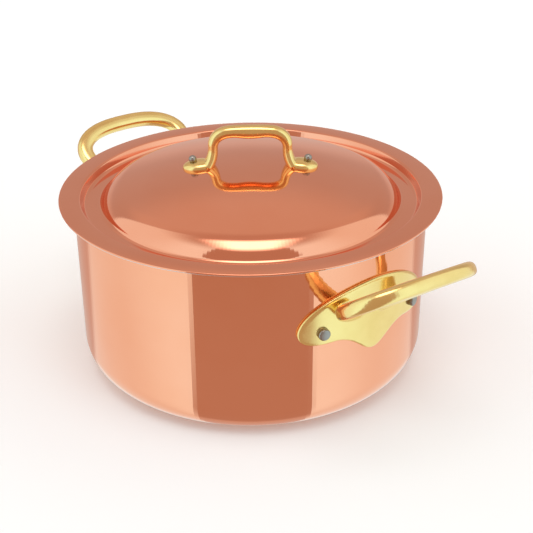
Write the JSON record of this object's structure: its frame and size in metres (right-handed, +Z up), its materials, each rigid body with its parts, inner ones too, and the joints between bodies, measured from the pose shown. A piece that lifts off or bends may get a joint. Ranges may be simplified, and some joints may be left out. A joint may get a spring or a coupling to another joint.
{
  "type": "lidded copper stewpan",
  "caption": "Low round copper cooking pan with cast brass loop handles riveted to its wall, a bright steel lining and a domed lift-off copper lid with a brass bow handle.",
  "frame": {"origin": "centre of the pan's flat underside, where it rests", "axes": "+Z up along the pan's axis, +X through the middle of the right side handle, so that both side handles lie along X; the lid rests turned 53.8 degrees about +Z"},
  "size_m": [0.3604, 0.264, 0.1707],
  "materials": {
    "copper_pan": "mirror-polished copper",
    "copper_lid": "mirror-polished copper",
    "steel_lining": "fine circular brushing",
    "cast_brass": "polished cast bronze",
    "steel_rivets": "satin steel"
  },
  "bodies": {
    "pan": {"pan_copper_body": "copper_pan", "pan_steel_lining": "steel_lining", "side_handle_right": "cast_brass", "side_handle_left": "cast_brass", "right_handle_rivet_front": "steel_rivets", "right_handle_rivet_rear": "steel_rivets", "left_handle_rivet_front": "steel_rivets", "left_handle_rivet_rear": "steel_rivets"},
    "lid": {"lid_copper_shell": "copper_lid", "lid_steel_lining": "steel_lining", "lid_handle": "cast_brass", "lid_rivet_left": "steel_rivets", "lid_rivet_right": "steel_rivets"}
  },
  "joints": [
    {"name": "lid_lift", "type": "slide", "parent": "pan", "child": "lid", "axis": [0, 0, 1], "range_m": [0, 0.15]}
  ]
}
